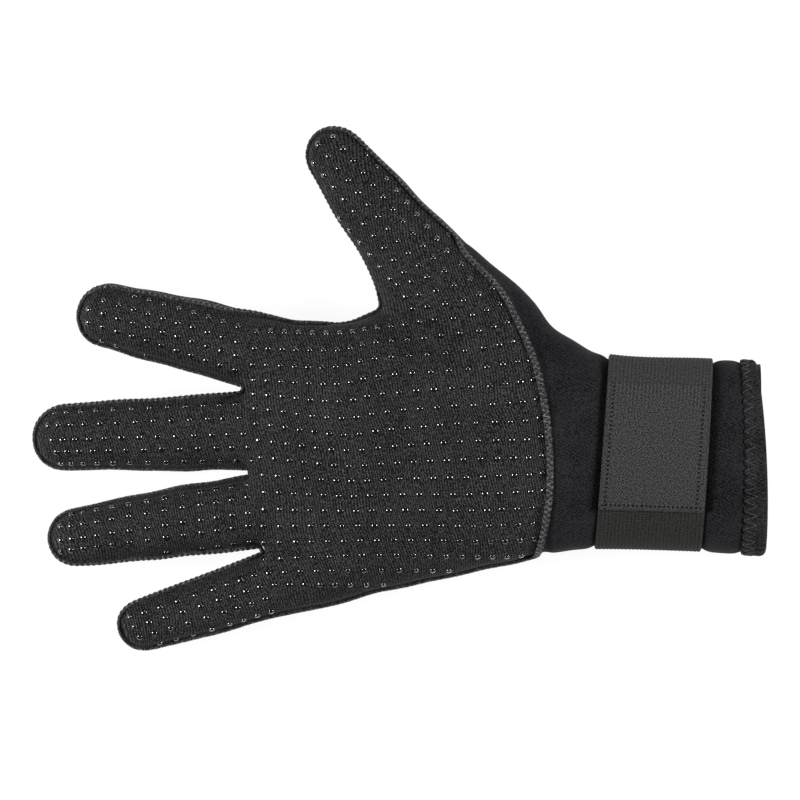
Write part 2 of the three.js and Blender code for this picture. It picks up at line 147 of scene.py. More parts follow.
def floorAt(x, y, lift, offset):
    return lift * strapStack - hand["seamPlane"] + droopAt(x, y) - offset


# A rounded section: cosine and sine raised to 2 / power, times the half size on each side
def sectionPoint(angle, outer, inner, up, down, power):
    c, s = np.cos(angle), np.sin(angle)
    side = np.sign(c) * np.abs(c) ** (2 / power) * np.where(c > 0, outer, inner)
    z = np.sign(s) * np.abs(s) ** (2 / power) * np.where(s > 0, up, down)
    return side, z


def nipAt(reach):
    afterStrap = strap["fromEdge"] + strap["width"]
    rise = smoothStep(strap["fromEdge"] - nipFade, strap["fromEdge"], reach)
    fall = smoothStep(afterStrap, afterStrap + nipFade, reach)
    edge = smoothStep(hem["width"], hem["width"] + nipFade, reach)
    return strapStack * rise * (1 - fall) + hemStack * (1 - edge)


bodyReach = hand["cuffLength"] + hand["palmLength"]
bodyAt = (np.array(bodyForm["cuff"]) * hand["cuffLength"]
          + np.array(bodyForm["palm"]) * hand["palmLength"])


# The palm and cuff: rounded sections stacked along the hand, each drawn from the wrist's
# size to the palm's, pressed in under the strap and hem, and never under the floor
def bodyPoint(reach, angle, offset):
    def at(column):
        return tableAt(bodyAt, bodyForm[column], reach)

    flare, web = at("flare"), at("web")
    grown = offset - nipAt(reach)
    skinHalf = mix(hand["wristWidth"], hand["palmWidth"], flare) / 2
    depth = mix(hand["wristDepth"], hand["palmDepth"], np.clip(flare, 0, 1)) * at("face")
    side, z = sectionPoint(
        angle, skinHalf + grown + web * hand["thumbWeb"], skinHalf + grown,
        depth * hand["faceShare"] + grown, depth * (1 - hand["faceShare"]) + grown, hand["bodyPower"])
    share = side / skinHalf
    lag = (hand["crotchLag"]
           * smoothStep(0.6 * hand["palmLength"], hand["palmLength"], reach - hand["cuffLength"])
           * smoothStep(-0.02, 0.62, -share))
    x = lag - reach + hand["wristWidth"] * (at("slant") * share - at("bow") * share ** 2)
    y = at("drift") * hand["palmWidth"] + side
    return np.stack([x, y, np.maximum(z, floorAt(x, y, at("lift"), offset))], -1)


def digitRoot(digit):
    return (-(hand["cuffLength"] + digit["along"] * hand["palmLength"]),
            digit["across"] * hand["palmWidth"])


# A digit's half sizes at a share of its straight length: outer, inner and up
def digitSize(name, share):
    digit = digits[name]
    share = np.clip(share, 0, 1)
    if name == "thumb":
        outer, inner, face = (tableAt(thumbForm["along"], thumbForm[key], share)
                              for key in ("outer", "inner", "face"))
        half = digit["width"] / 2
        return outer * half, inner * half, face * digit["depth"] / 2
    tapered = tableAt(fingerForm["along"], fingerForm["taper"], share)
    taper = mix(1, digit["tip"] / digit["width"], tapered)
    return taper * digit["width"] / 2, taper * digit["width"] / 2, taper * digit["depth"] / 2


def digitPlace(name, distance, side):
    digit = digits[name]
    turn = np.radians(digit["splay"])
    lateral = side + digit["bend"] * (distance / digit["length"]) ** 2
    x, y = digitRoot(digit)
    return (x - distance * np.cos(turn) + lateral * np.sin(turn),
            y + distance * np.sin(turn) + lateral * np.cos(turn))


# Where points lie by a digit: how far along it and to which side of its axis
def digitCoords(name, x, y):
    digit = digits[name]
    turn = np.radians(digit["splay"])
    rootX, rootY = digitRoot(digit)
    distance = -(x - rootX) * np.cos(turn) + (y - rootY) * np.sin(turn)
    lateral = (x - rootX) * np.sin(turn) + (y - rootY) * np.cos(turn)
    return distance, lateral - digit["bend"] * (distance / digit["length"]) ** 2


# A digit's skin: sections along its axis, then a dome whose rings shrink as a cosine
def digitPoints(name, rings, sides, tipRings):
    digit = digits[name]
    straight = digit["length"] - digit["tip"] / 2
    turn = np.linspace(0, np.pi / 2, tipRings + 1)[1:]
    dome = straight + digit["tip"] / 2 * np.sin(turn)
    distance = np.concatenate([np.linspace(0, straight, rings), dome])
    shrink = np.concatenate([np.ones(rings), np.cos(turn) + 1e-4])
    outer, inner, up = (size * shrink for size in digitSize(name, distance / straight))
    angle = np.linspace(0, 2 * np.pi, sides, endpoint=False)[None, :]
    outer, inner, up = outer[:, None], inner[:, None], up[:, None]
    side, z = sectionPoint(angle, outer, inner, up, up, hand["digitPower"])
    x, y = digitPlace(name, distance[:, None], side)
    return np.stack([x, y, np.maximum(z, floorAt(x, y, 0, 0))], -1)


# Four-sided faces between the rows of a grid of points. Rows or columns may close on themselves
def gridFaces(rows, columns, closeRows=False, closeColumns=False):
    r = np.arange(rows if closeRows else rows - 1)
    c = np.arange(columns if closeColumns else columns - 1)
    r, c = np.meshgrid(r, c, indexing="ij")
    rNext, cNext = (r + 1) % rows, (c + 1) % columns
    return np.stack([r * columns + c, r * columns + cNext, rNext * columns + cNext, rNext * columns + c],
                    -1).reshape(-1, 4)


# The same small shape's faces for each of its copies
def repeatFaces(faces, count, perCopy):
    return [[corner + copy * perCopy for corner in face] for copy in range(count) for face in faces]


# A piece from points in the frame, in mm, with its cloth map where it has one
def makePiece(name, points, faces, material=None, uv=None):
    mesh = bpy.data.meshes.new(name)
    faces = faces.tolist() if isinstance(faces, np.ndarray) else faces
    mesh.from_pydata((np.asarray(points) * 0.001).tolist(), [], faces)
    if material:
        mesh.materials.append(material)
    if uv is not None:
        layer = mesh.uv_layers.new(name="cloth")
        loops = np.empty(len(mesh.loops), int)
        mesh.loops.foreach_get("vertex_index", loops)
        layer.data.foreach_set("uv", (np.asarray(uv)[loops] * 0.001).ravel())
    mesh.validate()
    mesh.shade_smooth()
    piece = bpy.data.objects.new(name, mesh)
    bpy.context.scene.collection.objects.link(piece)
    return piece


def pieceArrays(mesh):
    points = np.empty(len(mesh.vertices) * 3)
    mesh.vertices.foreach_get("co", points)
    edges = np.empty(len(mesh.edges) * 2, int)
    mesh.edges.foreach_get("vertices", edges)
    loops = np.empty(len(mesh.loops), int)
    mesh.loops.foreach_get("vertex_index", loops)
    return points.reshape(-1, 3), edges.reshape(-1, 2), loops


def neighbourMean(values, edges, count):
    total = np.zeros_like(values)
    np.add.at(total, edges[:, 0], values[edges[:, 1]])
    np.add.at(total, edges[:, 1], values[edges[:, 0]])
    return total / count


def normalsOf(points, quads):
    a, b, c, d = (points[quads[:, corner]] for corner in range(4))
    across = np.cross(c - a, d - b)
    total = np.zeros_like(points)
    for corner in range(4):
        np.add.at(total, quads[:, corner], across)
    return total / np.maximum(np.linalg.norm(total, axis=1, keepdims=True), 1e-9)


# Soft unevenness of stretched cloth: the mean of six sine waves, 17 to 40 mm long, crossing
def softWaves(points):
    random = np.random.default_rng(4)
    total = np.zeros(len(points))
    for length in (17, 21, 25, 29, 34, 40):
        heading, phase = random.uniform(0, 2 * np.pi, 2)
        along = points[:, 0] * np.cos(heading) + points[:, 1] * np.sin(heading) + 0.4 * points[:, 2]
        total += np.sin(2 * np.pi * along / length + phase)
    return total / 2.5


crease = {"from": (-141.0, 50.0), "to": (-112.0, 39.0), "depth": 2.3, "spread": 6}


# The soft fold under the thumb's web: a bell across a line, fading at its two ends
def webCrease(points):
    a, b = np.array(crease["from"]), np.array(crease["to"])
    run = (b - a) / np.linalg.norm(b - a)
    along = (points[:, :2] - a) @ run
    off = (points[:, :2] - a) @ np.array([-run[1], run[0]])
    ends = smoothStep(-8, 4, along) * smoothStep(56, 14, along) * smoothStep(0, 5, points[:, 2])
    return crease["depth"] * ends * np.exp(-(off / crease["spread"]) ** 2)


# The hand's skin: the lofts of the palm and of each digit, made one by a voxel remesh and
# then smoothed, most of all where the thumb's flank runs into the wrist
def makeSkin():
    sides, around = 120, 72  # points round the palm and round a digit
    # close rings over the cuff and strap, from inside the hem's fold, then wider ones
    reach = np.concatenate([np.linspace(-6, 66, 100), np.linspace(66, bodyReach, 90)[1:]])
    angle = np.linspace(0, 2 * np.pi, sides, endpoint=False)
    points = [bodyPoint(reach[:, None], angle[None, :], 0.0).reshape(-1, 3)]
    faces = [gridFaces(len(reach), sides, closeColumns=True)]
    caps = [list(range(sides))[::-1], [(len(reach) - 1) * sides + i for i in range(sides)]]
    count = len(points[0])
    for name in digits:
        grid = digitPoints(name, 60, around, 14)
        points.append(grid.reshape(-1, 3))
        faces.append(gridFaces(len(grid), around, closeColumns=True) + count)
        caps.append([count + i for i in range(around)][::-1])
        count += len(grid) * around
        caps.append([count - around + i for i in range(around)])
    lofts = bpy.data.meshes.new("lofts")
    allFaces = np.concatenate(faces).tolist() + caps
    lofts.from_pydata((np.concatenate(points) * 0.001).tolist(), [], allFaces)
    source = bpy.data.objects.new("lofts", lofts)
    bpy.context.scene.collection.objects.link(source)
    remesh = source.modifiers.new("one skin", "REMESH")
    remesh.mode = "VOXEL"
    remesh.voxel_size = hand["voxel"] * 0.001
    depsgraph = bpy.context.evaluated_depsgraph_get()
    skin = bpy.data.meshes.new_from_object(source.evaluated_get(depsgraph))
    bpy.data.objects.remove(source)
    points, edges, loops = pieceArrays(skin)
    points = points * 1000
    quads = loops.reshape(-1, 4)
    count = np.bincount(edges.ravel(), minlength=len(points))[:, None].astype(float)
    for turn in range(6):
        points = mix(points, neighbourMean(points, edges, count), 0.5)
    # the thumb's flank runs straight into the wrist, so it is smoothed much more
    flankX, flankY, flankSize = -77, 44, 10
    fromFlank = np.hypot(points[:, 0] - flankX, points[:, 1] - flankY)
    flank = 0.5 * np.exp(-(fromFlank / flankSize) ** 2)[:, None]
    for turn in range(60):
        points = mix(points, neighbourMean(points, edges, count), flank)
    normals = normalsOf(points, quads)
    inHand = smoothStep(-68, -78, points[:, 0])
    swell = hand["plump"] + hand["ripple"] * softWaves(points) - webCrease(points)
    return points + normals * (swell * inHand)[:, None], quads


print("lofting the hand")
skinPoints, skinQuads = makeSkin()
print("skin", len(skinPoints), "points")


# Signed distance from the seam across the heel, positive towards the fingers: to the
# nearest stretch of a curve through the seam's rows, carried on straight at both ends
def heelDistance(x, y):
    along, across = np.array(heelSeam["along"]), np.array(heelSeam["across"])
    t = np.linspace(0, len(along) - 1, 61)
    rowX = -(hand["cuffLength"] + tableAt(np.arange(len(along)), along, t) * hand["palmLength"])
    rowY = tableAt(np.arange(len(across)), across, t) * hand["palmWidth"]
    path = np.stack([rowX, rowY], -1)
    before, after = path[0] + (path[0] - path[1]) * 20, path[-1] + (path[-1] - path[-2]) * 20
    path = np.concatenate([[before], path, [after]])
    best, side = np.full(x.shape, 1e9), np.zeros(x.shape)
    for a, b in zip(path[:-1], path[1:]):
        run = b - a
        t = np.clip(((x - a[0]) * run[0] + (y - a[1]) * run[1]) / (run @ run), 0, 1)
        dx, dy = x - a[0] - t * run[0], y - a[1] - t * run[1]
        d = np.hypot(dx, dy)
        cross = run[0] * (y - a[1]) - run[1] * (x - a[0])
        nearer = d < best
        side = np.where(nearer, -np.sign(cross), side)
        best = np.where(nearer, d, best)
    return best * side


def softMin(a, b, blend):
    share = np.clip(0.5 + 0.5 * (b - a) / blend, 0, 1)
    return mix(b, a, share) - blend * share * (1 - share)


# Where the seam leaves the palm's level on a digit and has its full height, as shares of it
seamClimb = {"thumb": (0.44, 0.6), "finger": (0.12, 0.36), "indexOuter": (0.14, 0.46)}


# How far a point of the skin lies on the palm's side of the seam, in mm. Over each digit the
# seam's height goes up towards its sides, and over the palm it is level or crosses the heel.
# Between digits their heights are mixed, with a weight falling off exponentially from each.
def palmSide(points):
    x, y, z = points.T
    heights, weights = 0, 0
    thumbShare, thumbLateral = None, None
    for name, digit in digits.items():
        distance, lateral = digitCoords(name, x, y)
        straight = digit["length"] - digit["tip"] / 2
        share = distance / straight
        outer, inner, up = digitSize(name, share)
        half = np.where(lateral > 0, outer, inner)
        near = np.abs(lateral) / half + np.clip(-distance / 7, 0, 5)
        seam = np.where(lateral > 0, digit["thumbSeam"], digit["littleSeam"])
        climb = smoothStep(*seamClimb["thumb" if name == "thumb" else "finger"], share)
        if name == "index":
            climb = np.where(lateral > 0, smoothStep(*seamClimb["indexOuter"], share), climb)
        weight = np.exp(-6 * near)
        heights = heights + weight * seam * climb * up * np.minimum(np.abs(lateral) / half, 1.2)
        weights = weights + weight
        if name == "thumb":
            thumbShare, thumbLateral = share, lateral
    height = heights / weights
    flat = softMin(z - height, heelDistance(x, y), 3.0)
    beyond = smoothStep(0.46, 0.6, thumbShare) * smoothStep(0, 6, thumbLateral)
    return mix(flat, z - height, beyond)


def surfaceSlope(points, normals):
    step = 0.2
    value = palmSide(points)
    slope = np.stack([(palmSide(points + step * axis) - value) / step for axis in np.eye(3)], -1)
    slope -= normals * (slope * normals).sum(1, keepdims=True)
    return value, slope


groove = {"deep": 0.75, "fromSeam": 2.6, "spread": 1.9, "edge": 0.3, "edgeSpread": 7}


# The panels' forms over the skin: a groove along both sides of the seam, as bells of its distance
def cutPanels():
    points = skinPoints.copy()
    normals = normalsOf(points, skinQuads)
    value, slope = surfaceSlope(points, normals)
    size = np.maximum((slope ** 2).sum(1), 0.05)
    # points close to the seam move onto it, so that the cloth's edge runs smoothly
    snap = np.abs(value) / np.sqrt(size) < 0.62 * hand["voxel"]
    points[snap] -= (value / size)[snap, None] * slope[snap]
    value = palmSide(points)
    value[snap] = 0
    normals = normalsOf(points, skinQuads)
    away = np.abs(value)
    sink = groove["deep"] * np.exp(-((away - groove["fromSeam"]) / groove["spread"]) ** 2)
    sink += groove["edge"] * np.exp(-(away / groove["edgeSpread"]) ** 2)
    inCuff = smoothStep(-72, -80, points[:, 0])
    points -= normals * (sink * inCuff)[:, None]
    return points, value, normals


panelPoints, panelValue, panelNormals = cutPanels()


# To the frame: the fingers sink to the floor, and the whole moves under the CAD box
def letDown(points):
    low = points.copy()
    low[:, 2] += hand["seamPlane"] - droopAt(points[:, 0], points[:, 1])
    return low


backBox = [np.array(corner) * 1000 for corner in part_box("back_panel")]
skinLow = letDown(skinPoints)
kept = skinPoints[:, 0] < -hem["width"]
shift = np.array([
    backBox[0][0] - skinLow[kept, 0].min(),
    (backBox[0][1] + backBox[1][1]) / 2 - (skinLow[kept, 1].min() + skinLow[kept, 1].max()) / 2,
    backBox[0][2] - skinLow[kept, 2].min(),
])
print("shift", shift)


def toFrame(points):
    return letDown(np.asarray(points, float).reshape(-1, 3)) + shift


# One panel: the skin's faces on its side of the seam, given the neoprene's thickness inwards
def makePanel(name, side, material):
    faceValue = panelValue[skinQuads].mean(1) * side
    cuffEnd = panelPoints[skinQuads][:, :, 0].max(1) < -hemStack
    quads = skinQuads[(faceValue > 0) & cuffEnd]
    used, index = np.unique(quads, return_inverse=True)
    index = index.reshape(-1, 4)
    points = panelPoints[used].copy()
    edges = np.sort(np.concatenate([index[:, [a, (a + 1) % 4]] for a in range(4)]), axis=1)
    unique, times = np.unique(edges, axis=0, return_counts=True)
    rim = np.unique(unique[times == 1])
    inner = rim[points[rim, 0] < -hem["width"]]
    _, slope = surfaceSlope(points[inner], panelNormals[used][inner])
    slope /= np.maximum(np.linalg.norm(slope, axis=1, keepdims=True), 1e-6)
    points[inner] += slope * side * hand["seamGap"]
    piece = makePiece(name, toFrame(points), index, material)
    wall = piece.modifiers.new("neoprene", "SOLIDIFY")
    wall.thickness = hand["wall"] * 0.001
    wall.offset = -1
    wall.use_even_offset = False
    return piece


def srgb(code):
    channels = np.array([int(code[i:i + 2], 16) for i in (1, 3, 5)]) / 255
    linear = np.where(channels <= 0.04045, channels / 12.92, ((channels + 0.055) / 1.055) ** 2.4)
    return (*linear, 1.0)


# Each input of a node gets a value, another node or another node's named output
def setInputs(tree, node, inputs):
    for socket, source in inputs.items():
        if isinstance(source, bpy.types.Node):
            tree.links.new(source.outputs[0], node.inputs[socket])
        elif isinstance(source, tuple) and isinstance(source[0], bpy.types.Node):
            tree.links.new(source[0].outputs[source[1]], node.inputs[socket])
        else:
            node.inputs[socket].default_value = source


def addNode(tree, kind, inputs, **settings):
    node = tree.nodes.new("ShaderNode" + kind)
    for name, value in settings.items():
        setattr(node, name, value)
    setInputs(tree, node, inputs)
    return node


def newMaterial(name, settings):
    material = bpy.data.materials.new(name)
    material.use_nodes = True
    tree = material.node_tree
    shader = tree.nodes["Principled BSDF"]
    setInputs(tree, shader, settings)
    return material, tree, shader


waveMm = 0.314  # a wave texture at this scale has bands 1 mm apart


# Where a point lies, in mm: in the frame, or on the piece's own cloth map
def placeInMm(tree, mapped=False):
    place = (addNode(tree, "TexCoord", {}), "Object")
    if mapped:
        place = addNode(tree, "UVMap", {}, uv_map="cloth")
    return addNode(tree, "VectorMath", {0: place, "Scale": 1000.0}, operation="SCALE")


# Warp-knitted nylon over the palm's neoprene: fine ribs of bright and dark loops, matt, with a
# little sheen. Its ribs are 0.95 mm apart; the loops' speckle is drawn coarser than the real 0.3 mm.
def makePalmKnit():
    material, tree, shader = newMaterial("warp-knitted nylon", {
        "Roughness": 0.72, "Sheen Weight": 0.03, "Sheen Roughness": 0.45, "Specular IOR Level": 0.06})
    inMm = placeInMm(tree)
    sway = addNode(tree, "TexNoise", {"Vector": inMm, "Scale": 0.03, "Detail": 1.0})
    swayed = addNode(tree, "VectorMath", {0: (sway, "Color"), 1: (9, 9, 0), 2: inMm},
                     operation="MULTIPLY_ADD")
    turned = addNode(tree, "Mapping", {"Vector": swayed, "Rotation": (0, 0, np.radians(-14))})
    ribs = addNode(tree, "TexWave", {"Vector": turned, "Scale": waveMm / 0.95, "Distortion": 1.9,
                                     "Detail": 2.0, "Detail Scale": 2.2}, bands_direction="X")
    loopPlace = addNode(tree, "Mapping", {"Vector": turned, "Scale": (2.3, 1.75, 1.9)})
    loops = addNode(tree, "TexNoise", {"Vector": loopPlace, "Scale": 1.0, "Detail": 3.0,
                                       "Roughness": 0.62})
    shade = addNode(tree, "TexNoise", {"Vector": inMm, "Scale": 0.075, "Detail": 2.0})
    both = addNode(tree, "Math", {0: ribs, 1: 0.14, 2: loops}, operation="MULTIPLY_ADD")
    tuned = addNode(tree, "Math", {0: shade, 1: 0.08, 2: both}, operation="MULTIPLY_ADD")
    level = addNode(tree, "MapRange", {"Value": tuned, "From Min": 0.5, "From Max": 0.76})
    light = addNode(tree, "Math", {0: level, 1: 1.65}, operation="POWER")
    colour = addNode(tree, "Mix", {0: light, 6: srgb("#040404"), 7: srgb("#454546")}, data_type="RGBA")
    relief = addNode(tree, "Bump", {"Height": both, "Strength": 0.8, "Distance": 0.00022})
    setInputs(tree, shader, {"Base Color": (colour, 2), "Normal": relief})
    return material


# Nylon jersey on the back, cuff and hem: smoother than the palm, blue-black, with a faint twill
# 1.1 mm apart and very fine speckle
def makeJersey(name, dark, light, grain):
    material, tree, shader = newMaterial(name, {
        "Roughness": 0.78, "Sheen Weight": 0.03, "Sheen Roughness": 0.5, "Specular IOR Level": 0.06})
    inMm = placeInMm(tree)
    turned = addNode(tree, "Mapping", {"Vector": inMm, "Rotation": (0, 0, np.radians(-62))})
    twill = addNode(tree, "TexWave", {"Vector": turned, "Scale": waveMm / 1.1, "Distortion": 2.2,
                                      "Detail": 2.0, "Detail Scale": 1.8}, bands_direction="X")
    speckle = addNode(tree, "TexNoise", {"Vector": inMm, "Scale": grain, "Detail": 3.0,
                                         "Roughness": 0.6})
    shade = addNode(tree, "TexNoise", {"Vector": inMm, "Scale": 0.09, "Detail": 2.0})
    both = addNode(tree, "Math", {0: twill, 1: 0.09, 2: speckle}, operation="MULTIPLY_ADD")
    tuned = addNode(tree, "Math", {0: shade, 1: 0.25, 2: both}, operation="MULTIPLY_ADD")
    level = addNode(tree, "MapRange", {"Value": tuned, "From Min": 0.54, "From Max": 0.8})
    colour = addNode(tree, "Mix", {0: level, 6: srgb(dark), 7: srgb(light)}, data_type="RGBA")
    relief = addNode(tree, "Bump", {"Height": both, "Strength": 0.6, "Distance": 0.00015})
    setInputs(tree, shader, {"Base Color": (colour, 2), "Normal": relief})
    return material


# Woven elastic: raised ribs in the mesh, crossed by weft beads 0.9 mm apart. The strap's first
# lap is coloured a shade darker and browner than the lap over it.
def makeElastic():
    material, tree, shader = newMaterial("woven elastic", {
        "Roughness": 0.8, "Sheen Weight": 0.04, "Sheen Roughness": 0.5, "Specular IOR Level": 0.06})
    inMm = placeInMm(tree, mapped=True)
    parts = addNode(tree, "SeparateXYZ", {"Vector": inMm})
    weft = addNode(tree, "TexWave", {"Vector": inMm, "Scale": waveMm / 0.9, "Distortion": 1.6,
                                     "Detail": 2.0, "Detail Scale": 2.0}, bands_direction="Y")
    ribTurn = addNode(tree, "Math", {0: parts, 1: 2 * np.pi * strap["ribs"] / strap["width"]},
                      operation="MULTIPLY")
    rib = addNode(tree, "Math", {0: ribTurn}, operation="COSINE")
    speckle = addNode(tree, "TexNoise", {"Vector": inMm, "Scale": 1.7, "Detail": 2.0, "Roughness": 0.6})
    # the ribs' valleys take a slightly darker colour: painted shade between the ribs
    ribbed = addNode(tree, "Math", {0: rib, 1: -0.05, 2: speckle}, operation="MULTIPLY_ADD")
    both = addNode(tree, "Math", {0: weft, 1: 0.12, 2: ribbed}, operation="MULTIPLY_ADD")
    level = addNode(tree, "MapRange", {"Value": both, "From Min": 0.4, "From Max": 0.74})
    over = addNode(tree, "MapRange", {"Value": (parts, "Y"), "From Min": 150.0, "From Max": 165.0})
    dark = addNode(tree, "Mix", {0: over, 6: srgb("#131311"), 7: srgb("#1a1a1a")}, data_type="RGBA")
    light = addNode(tree, "Mix", {0: over, 6: srgb("#363633"), 7: srgb("#434343")}, data_type="RGBA")
    colour = addNode(tree, "Mix", {0: level, 6: (dark, 2), 7: (light, 2)}, data_type="RGBA")
    relief = addNode(tree, "Bump", {"Height": both, "Strength": 0.8, "Distance": 0.0002})
    setInputs(tree, shader, {"Base Color": (colour, 2), "Normal": relief})
    return material


# Brushed loop knit of the fastening tab: short crooked loops, grey and dusty, on a slanting grid
# drawn at 0.75 mm, about twice the real one
def makeLoopKnit(tabFlat):
    material, tree, shader = newMaterial("brushed loop knit", {
        "Roughness": 0.85, "Sheen Weight": 0.05, "Sheen Roughness": 0.5, "Specular IOR Level": 0.06})
    inMm = placeInMm(tree, mapped=True)
    leanLeft = addNode(tree, "Mapping", {"Vector": inMm, "Rotation": (0, 0, np.radians(38))})
    leanRight = addNode(tree, "Mapping", {"Vector": inMm, "Rotation": (0, 0, np.radians(-38))})
    first = addNode(tree, "TexWave", {"Vector": leanLeft, "Scale": waveMm / 0.8, "Distortion": 2.4,
                                      "Detail": 2.0, "Detail Scale": 1.6})
    second = addNode(tree, "TexWave", {"Vector": leanRight, "Scale": waveMm / 0.8, "Distortion": 2.4,
                                       "Detail": 2.0, "Detail Scale": 1.6})
    speckle = addNode(tree, "TexNoise", {"Vector": inMm, "Scale": 1.9, "Detail": 3.0, "Roughness": 0.65})
    crossed = addNode(tree, "Math", {0: first, 1: second}, operation="MULTIPLY")
    parts = addNode(tree, "SeparateXYZ", {"Vector": inMm})
    ribTurn = addNode(tree, "Math", {0: parts, 1: 2 * np.pi * strap["ribs"] / strap["width"]},
                      operation="MULTIPLY")
    rib = addNode(tree, "Math", {0: ribTurn}, operation="COSINE")
    start = addNode(tree, "MapRange", {"Value": (parts, "Y"), "From Min": 1.0, "From Max": 12.0,
                                       "To Min": -0.06, "To Max": 0.0})
    ribbed = addNode(tree, "Math", {0: rib, 1: start, 2: speckle}, operation="MULTIPLY_ADD")
    both = addNode(tree, "Math", {0: crossed, 1: 0.2, 2: ribbed}, operation="MULTIPLY_ADD")
    level = addNode(tree, "MapRange", {"Value": both, "From Min": 0.43, "From Max": 0.69})
    colour = addNode(tree, "Mix", {0: level, 6: srgb("#101010"), 7: srgb("#4c4c4b")}, data_type="RGBA")
    # the needle's holes: near-black spots a stitch apart along the two long rows and the end row,
    # partly the holes' own dark and partly painted shade in the dents where each stitch dips in
    holeShades = []
    for socket, lines, other in (("X", tab["rows"], "Y"), ("Y", [tabFlat - tab["fromEnd"]], "X")):
        turn = addNode(tree, "Math", {0: (parts, other), 1: 2 * np.pi / tab["stitch"]},
                       operation="MULTIPLY")
        wave = addNode(tree, "Math", {0: turn}, operation="COSINE")
        spots = addNode(tree, "MapRange", {"Value": wave, "From Min": -0.3, "From Max": 0.4})
        for line in lines:
            off = addNode(tree, "Math", {0: (parts, socket), 1: line}, operation="SUBTRACT")
            away = addNode(tree, "Math", {0: off}, operation="ABSOLUTE")
            near = addNode(tree, "MapRange", {"Value": away, "From Min": 0.25, "From Max": 0.6,
                                              "To Min": 0.9, "To Max": 0.0})
            holeShades.append(addNode(tree, "Math", {0: spots, 1: near}, operation="MULTIPLY"))
    deepest = addNode(tree, "Math", {0: holeShades[0], 1: holeShades[1]}, operation="MAXIMUM")
    deepest = addNode(tree, "Math", {0: deepest, 1: holeShades[2]}, operation="MAXIMUM")
    # near-black spots at the stitches: partly the holes' own dark, partly painted shade in the dents
    piercedAndShaded = addNode(tree, "Mix", {0: deepest, 6: (colour, 2), 7: srgb("#030303")}, data_type="RGBA")
    relief = addNode(tree, "Bump", {"Height": both, "Strength": 0.9, "Distance": 0.00025})
    setInputs(tree, shader, {"Base Color": (piercedAndShaded, 2), "Normal": relief})
    return material


# Spun polyester thread: its plies show as flecks from dark to light grey, 0.5 mm long
def makeThread(name, dark, light):
    material, tree, shader = newMaterial(name, {
        "Roughness": 0.55, "Sheen Weight": 0.04, "Specular IOR Level": 0.12})
    inMm = placeInMm(tree)
    flecks = addNode(tree, "TexNoise", {"Vector": inMm, "Scale": 1.3, "Detail": 3.0, "Roughness": 0.7})
    level = addNode(tree, "MapRange", {"Value": flecks, "From Min": 0.38, "From Max": 0.66})
    colour = addNode(tree, "Mix", {0: level, 6: srgb(dark), 7: srgb(light)}, data_type="RGBA")
    relief = addNode(tree, "Bump", {"Height": flecks, "Strength": 0.5, "Distance": 0.0001})
    setInputs(tree, shader, {"Base Color": (colour, 2), "Normal": relief})
    return material


# Silicone of the grip dots: black and wet-looking, so each shows the lights as small white spots
def makeSilicone():
    material, tree, shader = newMaterial("cured silicone", {
        "IOR": 1.5, "Coat Weight": 1.0, "Coat IOR": 1.7, "Coat Roughness": 0.1})
    inMm = placeInMm(tree)
    smear = addNode(tree, "TexNoise", {"Vector": inMm, "Scale": 0.9, "Detail": 2.0})
    gloss = addNode(tree, "MapRange", {"Value": smear, "From Min": 0.35, "From Max": 0.7,
                                       "To Min": 0.08, "To Max": 0.2})
    colour = addNode(tree, "Mix", {0: smear, 6: srgb("#020202"), 7: srgb("#080808")}, data_type="RGBA")
    setInputs(tree, shader, {"Base Color": (colour, 2), "Roughness": gloss})
    return material


palmKnit = makePalmKnit()
jersey = makeJersey("nylon jersey", "#070709", "#262629", 1.7)
hemJersey = makeJersey("folded nylon jersey", "#060607", "#2c2c2e", 1.5)
elastic = makeElastic()
seamThread = makeThread("spun polyester", "#161616", "#7c7c7c")
seamCord = makeThread("overlocked edge", "#080808", "#3c3c3c")
stitchThread = makeThread("stitching thread", "#1a1a1a", "#525252")
silicone = makeSilicone()
print("materials made")

palmPanel = makePanel("palm_cloth", 1, palmKnit)
backPanel = makePanel("back_cloth", -1, jersey)
print("panels cut")

# The grip dots: columns from the fingers to the heel and rows from the thumb to the little
# side, in mm from the frame's middle. Other dots stand between these.
dots = {"radius": 1.15, "height": 0.62, "sides": 10, "apart": 3.4, "fromSeam": 1.4, "tilt": 0.07}
palmRows = [-5, -2, 0, 4, 8, 12, 14]
palmColumns = [-12, -7, -4, 0, 2, 4, 5]
palmX = [
    [-46, -46, -47.5, -46, -43, -42.5, -39],
    [-20, -21, -22.5, -19.5, -16, -13, -11.5],
    [-13, -7.5, -8.5, -2.5, 1.5, 5.5, 7.5],
    [4.5, 13, 17, 21, 25.5, 28.5, 30.5],
    [16.5, 26.5, 30.5, 34.5, 36.5, 39, 40.5],
    [28.5, 36.5, 41.5, 45.5, 47.5, 49.5, 50.5],
    [32.5, 41, 45.5, 50.5, 52, 54, 55],
]
palmY = [
    [37, 20.5, 8.5, -13, -37.5, -61, -70.5],
    [36, 20, 8, -16.5, -38.5, -60, -70.5],
    [35.5, 22, 11, -14.5, -38, -60, -70.5],
    [38.5, 24.5, 13, -12.5, -38, -60.5, -71],
    [42.5, 26.5, 14.5, -12, -37.5, -60.5, -71],
    [47, 30.5, 17, -11.5, -37, -59.5, -70.5],
    [48, 32.5, 17.5, -10.5, -36.5, -58.5, -70],
]
